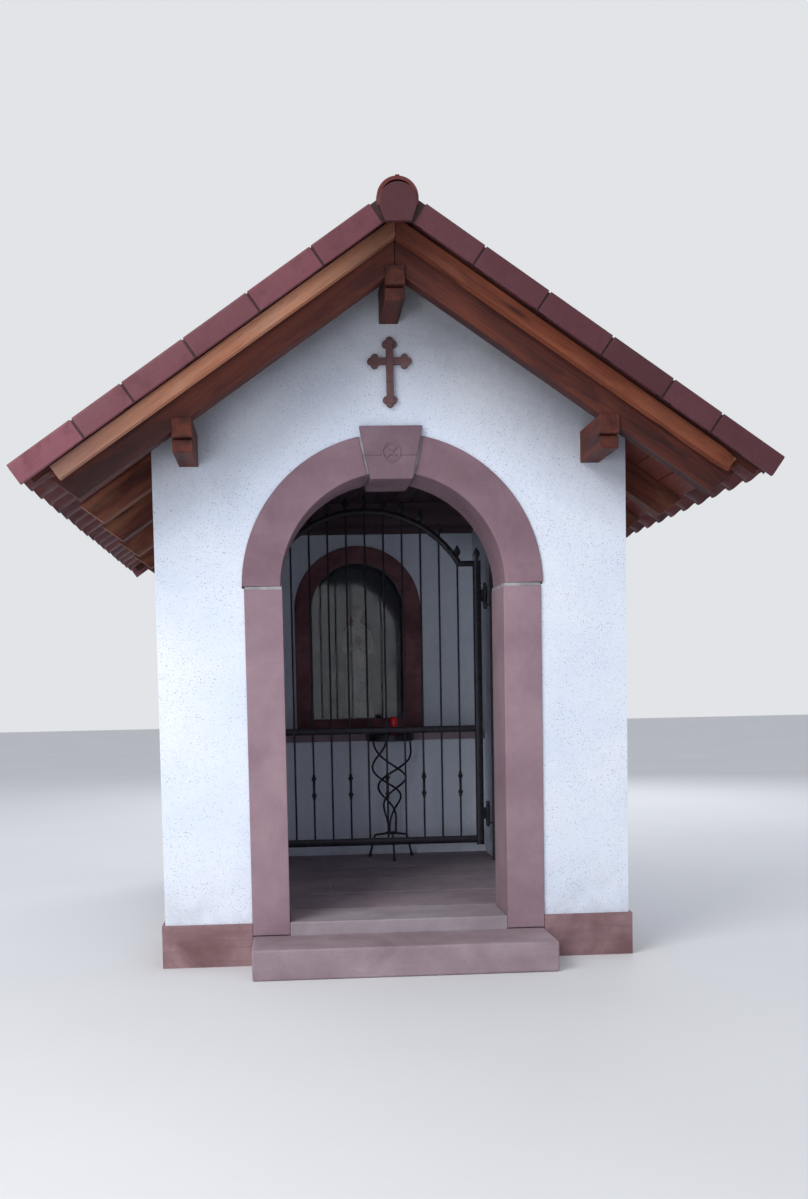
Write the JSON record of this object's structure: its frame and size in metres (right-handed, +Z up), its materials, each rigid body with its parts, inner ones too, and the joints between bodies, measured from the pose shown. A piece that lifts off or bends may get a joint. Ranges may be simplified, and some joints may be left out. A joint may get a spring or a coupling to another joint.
{
  "type": "wayside shrine",
  "caption": "Gabled wayside shrine with rendered walls, a round-arched stone doorway, a tiled roof on open timbers, an altar niche and a hinged wrought-iron gate inside.",
  "frame": {"origin": "middle of the walls' footprint at ground level", "axes": "+Z up, +Y towards the altar wall, so the doorway faces -Y, and +X to the right of someone who looks in"},
  "size_m": [3.3068, 3.852, 3.4248],
  "materials": {
    "render": "rough",
    "plinth_stone": "rough",
    "surround_stone": "rough",
    "step_stone": "rough",
    "floor_stone": "rough",
    "cross_stone": "rough",
    "dark_timber": "satin",
    "warm_timber": "satin",
    "light_timber": "rough",
    "roof_tile": "satin",
    "verge_tile": "satin",
    "ceiling_timber": "satin",
    "niche_stone": "rough",
    "figure": "satin",
    "glass": "gloss",
    "wrought_iron": "rough",
    "post_steel": "satin",
    "candle": "gloss"
  },
  "bodies": {
    "shrine": {"plinth_front": "plinth_stone", "plinth_sides": "plinth_stone", "plinth_back": "plinth_stone", "front_wall_piers": "render", "front_gable": "render", "side_walls": "render", "back_wall": "render", "door_jambs": "surround_stone", "door_arch": "surround_stone", "keystone": "surround_stone", "threshold": "step_stone", "entrance_step": "step_stone", "floor_slab": "floor_stone", "gable_cross": "cross_stone", "ridge_purlin": "dark_timber", "side_purlins": "dark_timber", "front_rafters": "dark_timber", "rear_rafters": "warm_timber", "roof_boards": "warm_timber", "verge_boards": "light_timber", "tile_cover": "roof_tile", "verge_tiles": "verge_tile", "ridge_tiles": "roof_tile", "ridge_end_plates": "verge_tile", "ceiling_boards": "ceiling_timber", "back_beam": "ceiling_timber", "altar_block": "render", "altar_slab": "step_stone", "niche_frame": "niche_stone", "niche_figure": "figure", "niche_glass": "glass", "gate_post": "post_steel", "candle_stand": "wrought_iron", "votive_candle": "candle"},
    "gate": {"gate_frame": "wrought_iron", "gate_bars": "wrought_iron", "gate_spears": "wrought_iron", "gate_knuckles": "wrought_iron"}
  },
  "joints": [
    {"name": "gate_hinge", "type": "hinge", "parent": "shrine", "child": "gate", "pos_m": [0.75, 0.35, 0.5], "axis": [0, 0, 1], "range_deg": [0, 90]}
  ]
}
